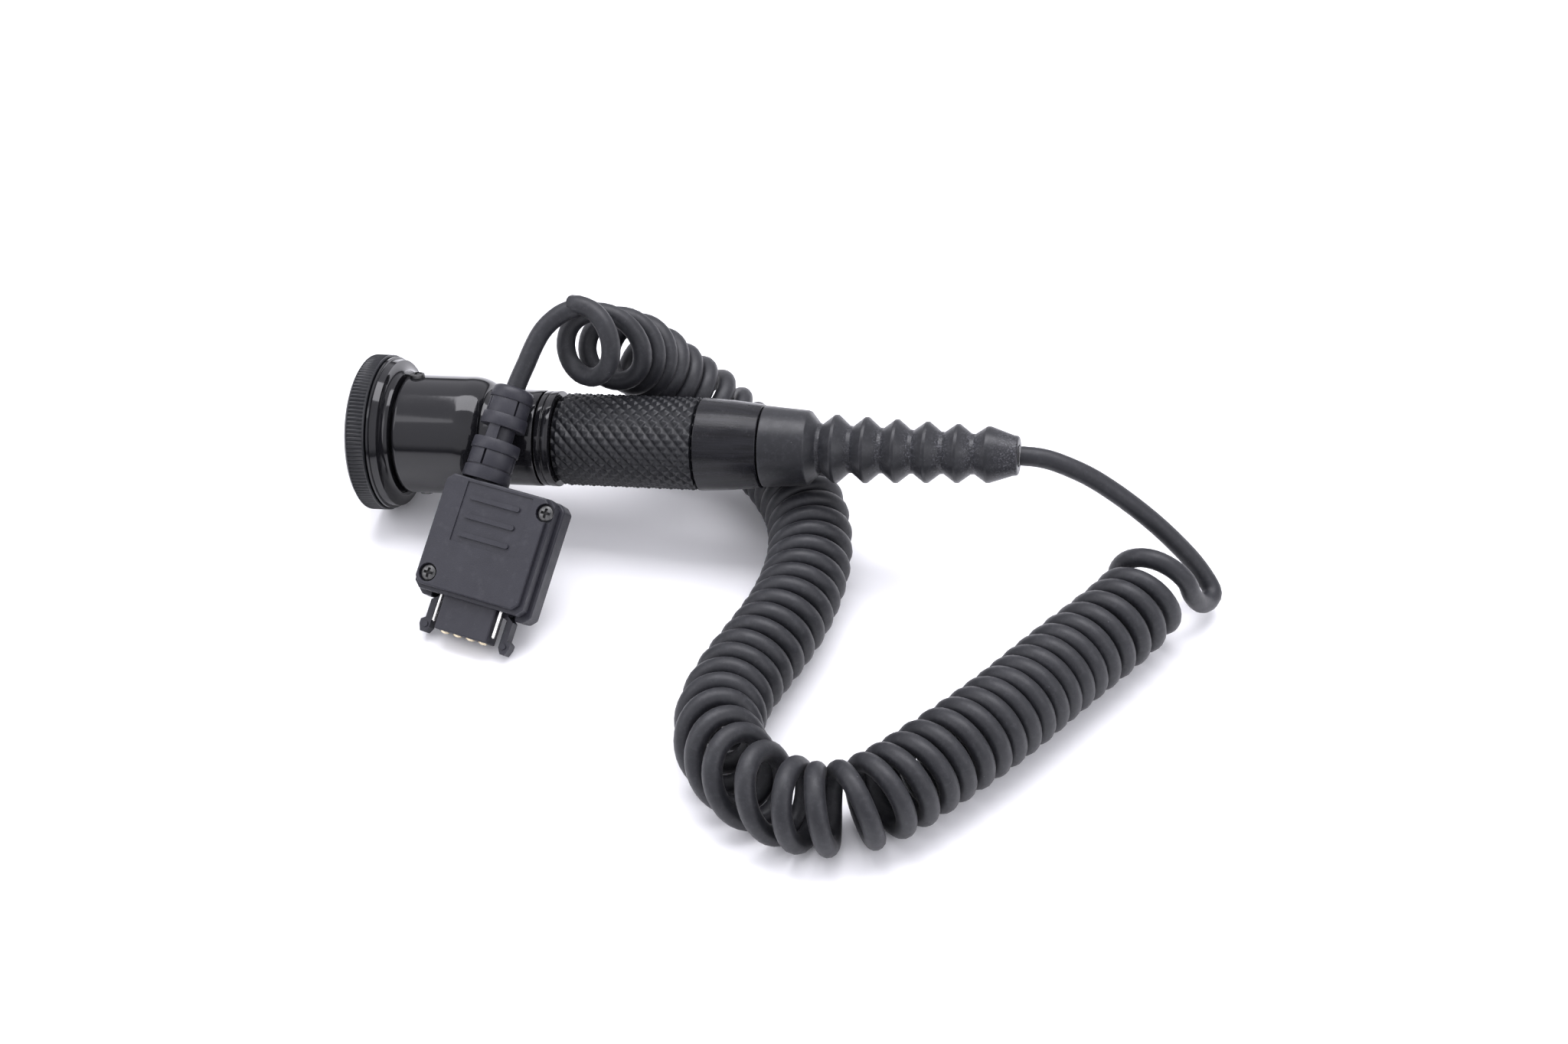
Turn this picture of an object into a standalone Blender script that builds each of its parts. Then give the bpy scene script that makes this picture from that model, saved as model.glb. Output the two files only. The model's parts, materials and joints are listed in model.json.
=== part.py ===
"""Electric shutter release: turned handle, curly cord and a flat four-contact plug.

Metres, +Z up. The floor is Z = 0. The handle's axis lies in the XZ plane and points from the
button end to the cord end; it tips up a little, because the cord end rests on the curly cord.
Sizes below are in millimetres and MM turns them into metres.
"""
import math

import bmesh
import bpy
from mathutils import Euler, Matrix, Vector

MM = 0.001
GAP = 0.3                    # clearance between neighbouring pieces
SEGMENTS = 40                # sides of the large turned pieces
SMALL_SEGMENTS = 24          # sides of the small turned pieces
TINY_SEGMENTS = 12           # sides of pins and screws

# ---------------------------------------------------------------- handle, along its own X axis
HANDLE_TILT = math.radians(6.4)
COLLAR_R = 16.6
COLLAR_FACE_R = 15.7
COLLAR_CHAMFER = 0.7
COLLAR_END = 4.6
COLLAR_BORE_R = 8.3
HUB_R = 8.0
HUB_BORE_R = 7.2
HUB_FRONT = 1.0
FLANGE_START = COLLAR_END + GAP
FLANGE_END = 8.4
FLANGE_R = 16.2
SPIGOT_R = 10.3
SPIGOT_END = 12.6
BARREL_START = 9.2
BARREL_R = 12.6
BARREL_BORE_R = 10.6
SHOULDER_START = 22.6
SHOULDER_END = 27.6
NECK_R = 10.25
NECK_END = 39.0
NECK_BORE_R = 7.0
NECK_RING_END = 42.5
GRIP_START = 42.8
GRIP_END = 73.0
GRIP_R = 9.75
GRIP_CHAMFER = 1.6
TAIL_START = 73.3
TAIL_END = 86.3
TAIL_END_R = 8.65
BOOT_START = 86.6
BOOT_COLLAR_END = 96.0
BOOT_COLLAR_R = 8.4
BOOT_COLLAR_END_R = 7.75
RIDGE_FIRST = 101.6
RIDGE_PITCH = 6.3
RIDGE_COUNT = 6
RIDGE_FIRST_R = 7.1
RIDGE_LAST_R = 5.8
VALLEY_FIRST_R = 4.9
VALLEY_LAST_R = 4.0
BOOT_END = 139.3
BOOT_END_R = 3.95

# ---------------------------------------------------------------- button and switch
BUTTON_R = 6.9
BUTTON_FRONT = 0.6
BUTTON_TRAVEL = 2.5
PLUNGER_R = 1.6
PLUNGER_TIP = 16.0
LEAF_PIVOT = (18.2, -5.5)    # along the handle's axis, and up from it
BARREL_SCREW_S = 11.3
BARREL_SCREW_TURN = math.radians(-20)    # about the handle's axis, away from straight up
BARREL_SCREW_HEAD_R = 1.6

# ---------------------------------------------------------------- cord
CORD_R = 2.0
COIL_START_R = 9.15            # the coil is a little fatter on the handle's side
COIL_R = 8.8

# From the boot's mouth, drooping to the floor and turning up into the first turn of the coil.
HANDLE_STRETCH = [
    (70.2, 0.0, 32.0), (74.0, 0.0, 32.1), (77.8, 0.0, 31.4), (83.8, 0.0, 29.0), (88.1, 0.0, 26.4),
    (94.2, 0.0, 22.7), (98.6, 0.0, 18.9), (103.2, 0.0, 14.3), (107.3, 0.0, 10.0), (110.6, -0.9, 6.3),
    (112.0, -2.9, 4.6), (111.2, -5.6, 4.3), (109.6, -8.2, 6.1),
]
# The middle of the coil: down the right, round the front, under the boot and up behind the handle.
COIL_ROUTE = [
    (100.6, -7.2, 9.2), (96.4, -16.1, 9.2), (91.4, -24.6, 9.2), (86.4, -32.2, 9.2), (81.2, -40.4, 9.2),
    (75.8, -49.1, 9.2), (69.6, -58.1, 9.2), (63.4, -66.2, 9.2), (57.8, -73.3, 9.2), (51.5, -78.9, 9.1),
    (43.6, -81.6, 9.0), (35.2, -79.8, 9.0), (27.5, -75.0, 9.0), (22.1, -67.1, 9.0), (21.5, -57.8, 9.0),
    (23.3, -49.0, 8.9), (25.9, -40.6, 8.9), (28.3, -31.5, 8.9), (29.5, -21.8, 8.9), (29.2, -11.4, 9.0),
    (26.6, -1.3, 9.5), (21.3, 7.7, 10.0), (14.8, 14.6, 10.9), (7.7, 18.9, 12.4), (3.7, 20.0, 15.3),
    (0.0, 20.7, 18.4), (-3.9, 20.5, 21.5), (-7.2, 19.9, 24.6), (-10.2, 19.2, 28.0), (-12.8, 17.4, 31.8),
    (-15.3, 14.2, 35.6), (-17.8, 9.5, 39.6), (-20.9, 5.0, 43.5),
]
# From the coil's last turn over to the strain relief on the plug.
PLUG_STRETCH = [
    (-23.4, 8.1, 49.7), (-25.2, 7.6, 49.2), (-27.0, 6.8, 48.4), (-28.9, 5.4, 47.0), (-30.4, 3.9, 45.3),
    (-31.6, 1.9, 43.0), (-32.6, -0.4, 40.4), (-33.4, -2.2, 38.5), (-34.1, -4.1, 36.6),
]

# ---------------------------------------------------------------- plug, in its own frame
# X across, Y towards its cord, Z out of its top face, which is Z = 0
PLUG_PITCH = math.radians(40.0)
PLUG_YAW = math.radians(-11.3)
PLUG_TOE = (0.4, -20.4, -7.2)          # the latch tips' lowest edge, in the plug's frame
PLUG_TOE_ON_FLOOR = (-35.8, -43.6, 0.3)
PLUG_HALF = 12.2
PLUG_CORNER = 1.3
COVER_STEP = 0.8
COVER_STEP_Z = -1.1
COVER_INSET = 0.15
COVER_BOTTOM = -4.0
BASE_TOP = COVER_BOTTOM - GAP
BASE_BOTTOM = -9.0
BASE_LIP = 0.9               # how far the base stands out past the cover at the right and front
BASE_LIP_LEFT = 0.4
CASE_WALL = 1.4
NOSE_CENTRE = 0.4
NOSE_HALF = 5.9
NOSE_TIP = -19.2
NOSE_TOP = -2.2
NOSE_BOTTOM = -7.4
CONTACT_R = 1.0
CONTACT_PITCH = 2.9
CONTACT_COUNT = 4
GUIDE_PIN_X = 6.75
GUIDE_PIN_R = 0.35
LATCH_INNER = 7.9
LATCH_OUTER = 9.3
LATCH_HOOK = 10.2
LATCH_TOP = -4.4
LATCH_BOTTOM = -7.2
LATCH_PIVOT = (7.2, -5.0)
LATCH_PIN_R = 0.6
LATCH_HUB_R = 1.5
UPPER_SCREW = (10.8, 9.2)
LOWER_SCREW = (-9.6, -8.8)
PLUG_SCREW_HEAD_R = 1.65
PLUG_SCREW_SHANK_R = 0.8
RELIEF_X = -5.7
RELIEF_Z = -4.5
RELIEF_BASE_R = 5.0
RELIEF_TIP_R = 4.1
RELIEF_LENGTH = 20.2

# ---------------------------------------------------------------- colours
BLACK_GLOSS = ((0.030, 0.031, 0.036), 0.22, 0.0)
BLACK_SATIN = ((0.045, 0.046, 0.052), 0.50, 0.2)
RUBBER = ((0.042, 0.043, 0.050), 0.60, 0.0)
PLUG_PLASTIC = ((0.060, 0.060, 0.072), 0.50, 0.0)
STEEL = ((0.30, 0.30, 0.29), 0.35, 1.0)
NICKEL = ((0.72, 0.71, 0.68), 0.20, 1.0)
GOLD = ((0.83, 0.62, 0.38), 0.25, 1.0)
BRASS = ((0.70, 0.50, 0.22), 0.35, 1.0)
NYLON = ((0.55, 0.52, 0.44), 0.55, 0.0)


def clear_scene():
    for old in list(bpy.data.objects):
        bpy.data.objects.remove(old, do_unlink=True)


def paint(piece, look):
    """Give a piece its own material: look is colour, roughness and metallic."""
    colour, roughness, metallic = look
    material = bpy.data.materials.new(piece.name)
    material.use_nodes = True
    shader = material.node_tree.nodes["Principled BSDF"]
    shader.inputs["Base Color"].default_value = (*colour, 1.0)
    shader.inputs["Roughness"].default_value = roughness
    shader.inputs["Metallic"].default_value = metallic
    piece.data.materials.clear()
    piece.data.materials.append(material)


def frame(name, matrix, parent=None):
    """An empty that carries the pieces built in its own coordinates."""
    empty = bpy.data.objects.new(name, None)
    bpy.context.scene.collection.objects.link(empty)
    empty.parent = parent
    empty.matrix_basis = matrix
    return empty


def place(name, bm, look, parent, at=(0.0, 0.0, 0.0)):
    """Turn a bmesh in millimetres into a named object whose origin is at `at` in its parent."""
    bmesh.ops.recalc_face_normals(bm, faces=bm.faces)
    bmesh.ops.translate(bm, verts=bm.verts, vec=-Vector(at))
    bmesh.ops.scale(bm, verts=bm.verts, vec=(MM, MM, MM))
    mesh = bpy.data.meshes.new(name)
    bm.to_mesh(mesh)
    bm.free()
    mesh.shade_smooth()
    mesh.set_sharp_from_angle(angle=math.radians(35))
    piece = bpy.data.objects.new(name, mesh)
    bpy.context.scene.collection.objects.link(piece)
    piece.parent = parent
    piece.location = Vector(at) * MM
    if look:
        paint(piece, look)
    return piece


def turned_bmesh(outline, segments, axis="X"):
    """Revolve a closed outline of (along, radius) points about an axis."""
    bm = bmesh.new()
    rings = []
    for along, radius in outline:
        count = segments if radius > 0 else 1
        ring = []
        for i in range(count):
            angle = math.tau * i / segments
            u = radius * math.sin(angle)
            v = radius * math.cos(angle)
            point = {"X": (along, u, v), "Y": (v, along, u), "Z": (u, v, along)}[axis]
            ring.append(bm.verts.new(point))
        rings.append(ring)
    for here, after in zip(rings, rings[1:] + rings[:1]):
        for i in range(segments):
            j = (i + 1) % segments
            corners = [here[i % len(here)], here[j % len(here)], after[j % len(after)], after[i % len(after)]]
            unique = list(dict.fromkeys(corners))
            if len(unique) > 2:
                bm.faces.new(unique)
    return bm


def turned(name, outline, look, parent, segments=SEGMENTS, axis="X"):
    return place(name, turned_bmesh(outline, segments, axis), look, parent)


def prism_bmesh(outline, low, high):
    """Extrude a closed XY outline from Z = low to Z = high."""
    bm = bmesh.new()
    bottom = [bm.verts.new((x, y, low)) for x, y in outline]
    top = [bm.verts.new((x, y, high)) for x, y in outline]
    bm.faces.new(bottom[::-1])
    bm.faces.new(top)
    for i in range(len(outline)):
        j = (i + 1) % len(outline)
        bm.faces.new((bottom[i], bottom[j], top[j], top[i]))
    return bm


def prism(name, outline, low, high, look, parent, at=(0.0, 0.0, 0.0)):
    return place(name, prism_bmesh(outline, low, high), look, parent, at)


def rectangle(x0, x1, y0, y1):
    return [(x0, y0), (x1, y0), (x1, y1), (x0, y1)]


def chamfered_rectangle(x0, x1, y0, y1, c):
    return [
        (x0 + c, y0), (x1 - c, y0), (x1, y0 + c), (x1, y1 - c),
        (x1 - c, y1), (x0 + c, y1), (x0, y1 - c), (x0, y0 + c),
    ]


def cross_outline(centre, reach, width):
    """The outline of a plus sign."""
    x, y = centre
    r = reach
    w = width / 2
    return [
        (x - w, y - r), (x + w, y - r), (x + w, y - w), (x + r, y - w), (x + r, y + w), (x + w, y + w),
        (x + w, y + r), (x - w, y + r), (x - w, y + w), (x - r, y + w), (x - r, y - w), (x - w, y - w),
    ]


def box(name, x, y, z, look, parent):
    """A block from three (low, high) pairs."""
    return prism(name, rectangle(*x, *y), z[0], z[1], look, parent)


def combine(piece, other, operation):
    """Boolean with a helper object, which stays hidden."""
    other.hide_render = True
    other.display_type = "WIRE"
    modifier = piece.modifiers.new(f"{operation.lower()}_{other.name}", "BOOLEAN")
    modifier.operation = operation
    modifier.object = other
    modifier.solver = "EXACT"
    return piece


def cut(piece, *cutters):
    for cutter in cutters:
        combine(piece, cutter, "DIFFERENCE")


def join(piece, *additions):
    for addition in additions:
        combine(piece, addition, "UNION")


def round_edges(piece, width, segments=2):
    modifier = piece.modifiers.new("rounded_edges", "BEVEL")
    modifier.width = width * MM
    modifier.segments = segments
    modifier.limit_method = "ANGLE"
    modifier.angle_limit = math.radians(40)


def smooth_path(points, spacing):
    """A Catmull-Rom curve through the points, resampled at an even spacing."""
    knots = [Vector(p) for p in points]
    knots = [2 * knots[0] - knots[1]] + knots + [2 * knots[-1] - knots[-2]]
    fine = []
    steps = 24
    for a, b, c, d in zip(knots, knots[1:], knots[2:], knots[3:]):
        for i in range(steps):
            t = i / steps
            fine.append(0.5 * (
                2 * b + (c - a) * t + (2 * a - 5 * b + 4 * c - d) * t * t
                + (3 * b - a - 3 * c + d) * t * t * t
            ))
    fine.append(knots[-2])
    lengths = [0.0]
    for a, b in zip(fine, fine[1:]):
        lengths.append(lengths[-1] + (b - a).length)
    count = max(2, round(lengths[-1] / spacing))
    path = []
    index = 0
    for i in range(count + 1):
        target = lengths[-1] * i / count
        while index < len(fine) - 2 and lengths[index + 1] < target:
            index += 1
        span = lengths[index + 1] - lengths[index]
        path.append(fine[index].lerp(fine[index + 1], (target - lengths[index]) / span))
    return path


def tube(name, points, radius, look, parent=None, sides=2, start_radius=None):
    """A solid round tube along a poly line, with closed ends; it may start with another radius."""
    data = bpy.data.curves.new(name, "CURVE")
    data.dimensions = "3D"
    data.bevel_depth = radius * MM
    data.bevel_resolution = sides
    data.use_fill_caps = True
    spline = data.splines.new("POLY")
    spline.points.add(len(points) - 1)
    for i, (knot, point) in enumerate(zip(spline.points, points)):
        knot.co = (*(Vector(point) * MM), 1.0)
        if start_radius:
            share = min(1.0, max(0.0, (i / len(points) - 0.3) / 0.1))
            knot.radius = (start_radius + (radius - start_radius) * share) / radius
    piece = bpy.data.objects.new(name, data)
    bpy.context.scene.collection.objects.link(piece)
    piece.parent = parent
    paint(piece, look)
    return piece


def helix(start, end, radius, turns, per_turn=12):
    """Points of a coil spring between two points."""
    start = Vector(start)
    along = Vector(end) - start
    side = along.orthogonal().normalized()
    other = along.normalized().cross(side)
    points = []
    for i in range(turns * per_turn + 1):
        angle = math.tau * i / per_turn
        centre = start + along * (i / (turns * per_turn))
        points.append(centre + radius * (math.cos(angle) * side + math.sin(angle) * other))
    return points


def on_handle(along, origin):
    """The world position, in millimetres, of a point on the handle's axis."""
    return origin + along * Vector((math.cos(HANDLE_TILT), 0.0, math.sin(HANDLE_TILT)))


# ================================================================ handle
def handle_origin():
    """Where the axis meets the collar's front face, so the collar's lower edge touches the floor."""
    cosine = math.cos(HANDLE_TILT)
    sine = math.sin(HANDLE_TILT)
    lowest = COLLAR_CHAMFER * sine - COLLAR_R * cosine
    left = -COLLAR_FACE_R * sine
    right = BOOT_END * cosine + BOOT_END_R * sine
    return Vector((-(left + right) / 2, 0.0, -lowest))


def make_collar(handle, collar):
    turned("lock_collar", [
        (0.0, 10.0), (0.0, COLLAR_FACE_R), (COLLAR_CHAMFER, COLLAR_R), (COLLAR_END - 0.3, COLLAR_R),
        (COLLAR_END, COLLAR_R - 0.3), (COLLAR_END, COLLAR_BORE_R), (1.5, COLLAR_BORE_R), (1.5, 10.0),
    ], BLACK_SATIN, collar, 48)
    turned("collar_retaining_ring", [
        (0.5, HUB_R + GAP), (0.5, 9.7), (1.2, 9.7), (1.2, HUB_R + GAP),
    ], STEEL, handle, SMALL_SEGMENTS)


def flare():
    """The concave flank of the flange, from its rim down to the gap."""
    points = []
    steps = 5
    for i in range(steps + 1):
        angle = math.radians(90) * i / steps
        along = FLANGE_END - 0.2 - 1.3 * math.cos(angle)
        radius = 15.5 - 2.4 * math.sin(angle)
        points.append((along, radius))
    return points


def make_flange(handle):
    piece = turned("end_flange", [
        (HUB_FRONT, HUB_BORE_R), (HUB_FRONT, HUB_R), (FLANGE_START, HUB_R), (FLANGE_START, FLANGE_R),
        (FLANGE_START + 0.55, FLANGE_R), (FLANGE_START + 0.75, 15.6), *flare(), (FLANGE_END, 13.1),
        (FLANGE_END, SPIGOT_R), (SPIGOT_END, SPIGOT_R), (SPIGOT_END, HUB_BORE_R),
    ], BLACK_GLOSS, handle, 48)
    cut(piece, screw_hole("spigot_screw_hole", handle, 11.5))


def shoulder():
    """The rounded shoulder between the barrel and the neck."""
    points = []
    steps = 6
    for i in range(steps + 1):
        angle = math.radians(90) * i / steps
        along = SHOULDER_START + (SHOULDER_END - SHOULDER_START) * math.sin(angle)
        radius = NECK_R + (BARREL_R - NECK_R) * math.cos(angle)
        points.append((along, radius))
    return points


def screw_matrix(turn):
    """Z points out of the barrel through a screw; turn is 0 for the top screw, pi for the bottom one."""
    shift = Matrix.Translation((BARREL_SCREW_S * MM, 0, 0))
    return shift @ Matrix.Rotation(BARREL_SCREW_TURN + turn, 4, "X")


def screw_hole(name, handle, reach):
    """A cutter for the two opposite screw holes across the handle."""
    hole_r = 1.15
    return turned(name, [
        (-reach, 0.0), (-reach, hole_r), (reach, hole_r), (reach, 0.0),
    ], None, frame(f"{name}_frame", screw_matrix(0.0), handle), TINY_SEGMENTS, "Z")


def make_barrel(handle):
    piece = turned("barrel_housing", [
        (BARREL_START, BARREL_BORE_R), (BARREL_START, BARREL_R - 0.25), (BARREL_START + 0.25, BARREL_R),
        *shoulder(), (NECK_END, NECK_R), (NECK_END, NECK_BORE_R), (24.0, NECK_BORE_R),
        (24.0, BARREL_BORE_R),
    ], BLACK_GLOSS, handle)
    spot_r = BARREL_SCREW_HEAD_R + 0.2
    for side, turn in (("top", 0.0), ("bottom", math.pi)):
        mount = frame(f"barrel_screw_{side}_frame", screw_matrix(turn), handle)
        cut(piece, turned(f"spotface_{side}", [
            (12.3, 0.0), (12.3, spot_r), (14.5, spot_r), (14.5, 0.0),
        ], None, mount, SMALL_SEGMENTS, "Z"))
        pan_screw(f"barrel_screw_{side}", mount, 12.6, 0.95, BARREL_SCREW_HEAD_R, 0.85, 8.0)
    cut(piece, screw_hole("barrel_screw_hole", handle, 14.0))


def pan_screw(name, parent, seat, height, head_r, shank_r, tip):
    """A pan-head cross screw along Z, with its head's underside at Z = seat."""
    top = seat + height
    piece = turned(name, [
        (tip, 0.0), (tip, shank_r), (seat, shank_r), (seat, head_r), (seat + 0.55 * height, head_r),
        (top - 0.12 * height, 0.80 * head_r), (top, 0.45 * head_r), (top, 0.0),
    ], STEEL, parent, 16, "Z")
    recess = prism(f"{name}_recess", cross_outline((0, 0), 0.58 * head_r, 0.26 * head_r),
                   top - 0.55 * height, top + 0.5, None, parent)
    cut(piece, recess)
    return piece


def make_button(button):
    turned("release_button", [
        (1.0, 0.0), (0.9, 3.0), (BUTTON_FRONT, 6.0), (BUTTON_FRONT + 0.3, BUTTON_R), (6.2, BUTTON_R),
        (6.2, 5.9), (2.6, 5.9), (2.6, 3.0), (5.0, 3.0), (5.0, PLUNGER_R + GAP), (3.2, PLUNGER_R + GAP),
        (3.2, 0.0),
    ], BLACK_SATIN, button, 32)
    turned("button_plunger", [
        (3.5, 0.0), (3.5, PLUNGER_R), (PLUNGER_TIP - 0.4, PLUNGER_R), (PLUNGER_TIP, PLUNGER_R - 0.4),
        (PLUNGER_TIP, 0.0),
    ], NYLON, button, 16)
    turned("plunger_clip", [
        (14.9, PLUNGER_R + 0.25), (14.9, 3.2), (15.5, 3.2), (15.5, PLUNGER_R + 0.25),
    ], STEEL, button, 16)


def make_switch(handle, leaf):
    tube("button_return_spring", helix((3.3, 0, 0), (12.1, 0, 0), 4.3, 6), 0.35, STEEL, handle, 0)
    carrier = turned("switch_carrier", [
        (12.8, PLUNGER_R + GAP), (12.8, 10.2), (14.6, 10.2), (14.6, PLUNGER_R + GAP),
    ], NYLON, handle, 32)
    pivot_s, pivot_z = LEAF_PIVOT
    for side, sign in (("left", -1), ("right", 1)):
        lug = box(f"carrier_lug_{side}", (14.0, 19.4), tuple(sorted((sign * 2.3, sign * 3.9))), (-7.0, -4.0),
                  None, handle)
        join(carrier, lug)
    join(carrier, box("carrier_post", (14.0, 19.7), (-2.0, 2.0), (5.4, 7.6), None, handle))
    pin_hole = turned("leaf_pin_hole", [(-5, 0), (-5, 0.75), (5, 0.75), (5, 0)], None,
                      frame("leaf_pin_hole_frame", Matrix.Translation((pivot_s * MM, 0, pivot_z * MM)), handle),
                      TINY_SEGMENTS, "Y")
    cut(carrier, pin_hole)
    turned("leaf_pivot_pin", [(-4.4, 0), (-4.4, 0.45), (4.4, 0.45), (4.4, 0)], STEEL,
           frame("leaf_pivot_pin_frame", Matrix.Translation((pivot_s * MM, 0, pivot_z * MM)), handle),
           TINY_SEGMENTS, "Y")
    box("contact_leaf_fixed", (20.0, 20.4), (-1.5, 1.5), (1.8, 7.4), BRASS, handle)
    moving = turned("contact_leaf_moving", [
        (-1.5, 0.75), (-1.5, 1.25), (1.5, 1.25), (1.5, 0.75),
    ], BRASS, leaf, TINY_SEGMENTS, "Y")
    join(moving, box("leaf_strip", (-0.2, 0.2), (-1.4, 1.4), (1.0, 10.0), None, leaf))


def make_sleeves(handle):
    start = NECK_END + GAP
    turned("neck_ring", [
        (start, NECK_BORE_R), (start, 9.9), (start + 0.2, 10.1), (start + 1.2, 10.1), (start + 1.4, 9.7),
        (start + 2.2, 9.7), (start + 2.4, 10.1), (NECK_RING_END - 0.2, 10.1), (NECK_RING_END, 9.9),
        (NECK_RING_END, NECK_BORE_R),
    ], BLACK_SATIN, handle)
    turned("knurled_grip", [
        (GRIP_START, NECK_BORE_R), (GRIP_START, GRIP_R - 0.9), (GRIP_START + GRIP_CHAMFER, GRIP_R),
        (GRIP_END - 0.3, GRIP_R), (GRIP_END, GRIP_R - 0.2), (GRIP_END, NECK_BORE_R),
    ], BLACK_SATIN, handle)
    turned("tail_cone", [
        (TAIL_START, NECK_BORE_R), (TAIL_START, GRIP_R - 0.2), (TAIL_START + 0.3, GRIP_R),
        (TAIL_END - 0.4, TAIL_END_R), (TAIL_END, TAIL_END_R - 0.3), (TAIL_END, 5.3), (84.1, 5.3),
        (84.1, NECK_BORE_R),
    ], BLACK_SATIN, handle)
    turned("core_tube", [
        (22.0, 3.6), (22.0, 9.8), (23.7, 9.8), (23.7, 6.7), (83.8, 6.7), (83.8, 5.0), (90.6, 5.0),
        (90.6, 3.6),
    ], BRASS, handle, SMALL_SEGMENTS)
    turned("sleeve_nut", [(86.7, 5.3), (86.7, 6.3), (89.8, 6.3), (89.8, 5.3)], BRASS, handle, 18)


def boot_outline():
    """The boot's bellows: a ridge and a valley for each fold, shrinking towards the cord."""
    outline = [
        (BOOT_START, 6.7), (BOOT_START, BOOT_COLLAR_R - 0.3), (BOOT_START + 0.3, BOOT_COLLAR_R),
        (BOOT_COLLAR_END, BOOT_COLLAR_END_R), (98.3, VALLEY_FIRST_R),
    ]
    for i in range(RIDGE_COUNT):
        share = i / (RIDGE_COUNT - 1)
        along = RIDGE_FIRST + RIDGE_PITCH * i
        ridge = RIDGE_FIRST_R + (RIDGE_LAST_R - RIDGE_FIRST_R) * share
        valley = VALLEY_FIRST_R + (VALLEY_LAST_R - VALLEY_FIRST_R) * (share + 0.1)
        outline.append((along - 0.35, ridge))
        outline.append((along + 0.35, ridge))
        if i < RIDGE_COUNT - 1:
            outline.append((along + 2.7, valley))
            outline.append((along + 3.3, valley - 0.05))
    outline += [
        (BOOT_END - 0.3, BOOT_END_R), (BOOT_END, BOOT_END_R - 0.3), (BOOT_END, CORD_R + GAP),
        (97.0, CORD_R + GAP), (93.0, 6.7),
    ]
    return outline


def make_boot(handle):
    turned("cable_boot", boot_outline(), RUBBER, handle, 32)
    turned("cable_clamp", [
        (72.0, CORD_R + GAP), (72.0, 3.3), (78.0, 3.3), (78.0, CORD_R + GAP),
    ], STEEL, handle, 16)
    turned("cable_inner_end", [
        (26.0, 0.0), (26.0, CORD_R), (BOOT_END, CORD_R), (BOOT_END, 0.0),
    ], RUBBER, handle, TINY_SEGMENTS)
    tube("lead_wire_fixed", smooth_path([
        (25.7, 0, 0.8), (23.4, 0, 1.2), (21.7, 0, 1.9), (20.95, 0, 3.4),
    ], 0.6), 0.3, GOLD, handle, 0)
    tube("lead_wire_moving", smooth_path([
        (25.7, 0, -0.8), (23.0, 0, -1.4), (21.0, 0, -3.2), (19.85, 0, -5.5),
    ], 0.6), 0.3, NICKEL, handle, 0)


# ================================================================ cord
def make_cord():
    tube("cord_handle_stretch", smooth_path(HANDLE_STRETCH, 4.5), CORD_R, RUBBER)
    tube("curly_cord_coil", smooth_path(COIL_ROUTE, 5.2), COIL_R, RUBBER, None, 6, COIL_START_R)
    tube("cord_plug_stretch", smooth_path(PLUG_STRETCH, 3.0), CORD_R, RUBBER)


# ================================================================ plug
def plug_matrix():
    rotation = Euler((PLUG_PITCH, 0.0, PLUG_YAW), "XYZ").to_matrix()
    origin = Vector(PLUG_TOE_ON_FLOOR) - rotation @ Vector(PLUG_TOE)
    return Matrix.Translation(origin * MM) @ rotation.to_4x4()


def capsule(x0, x1, y, half):
    """A bar outline with round ends, along X."""
    points = []
    for centre, start in ((x1, -90), (x0, 90)):
        for i in range(5):
            angle = math.radians(start + 45 * i)
            points.append((centre + half * math.cos(angle), y + half * math.sin(angle)))
    return points


def cavity_outline():
    """The hollow inside the case, which leaves two corners solid for the screws."""
    inner = PLUG_HALF - CASE_WALL
    post = 3.6
    return [
        (-PLUG_HALF + post, -inner), (inner, -inner), (inner, PLUG_HALF - post - 1.6),
        (PLUG_HALF - post, PLUG_HALF - post - 1.6), (PLUG_HALF - post, inner), (-inner, inner),
        (-inner, -PLUG_HALF + post + 1.6), (-PLUG_HALF + post, -PLUG_HALF + post + 1.6),
    ]


def relief_hole(name, plug, radius):
    """A cutter for the strain relief's neck in the case's back wall."""
    at = Matrix.Translation(Vector((RELIEF_X, 0, RELIEF_Z)) * MM)
    return turned(name, [
        (9.0, 0), (9.0, radius), (14.0, radius), (14.0, 0),
    ], None, frame(f"{name}_frame", at, plug), 16, "Y")


def screw_bore(name, plug, centre, radius, low, high):
    at = Matrix.Translation(Vector((*centre, 0)) * MM)
    return turned(name, [
        (low, 0), (low, radius), (high, radius), (high, 0),
    ], None, frame(f"{name}_frame", at, plug), 16, "Z")


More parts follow.
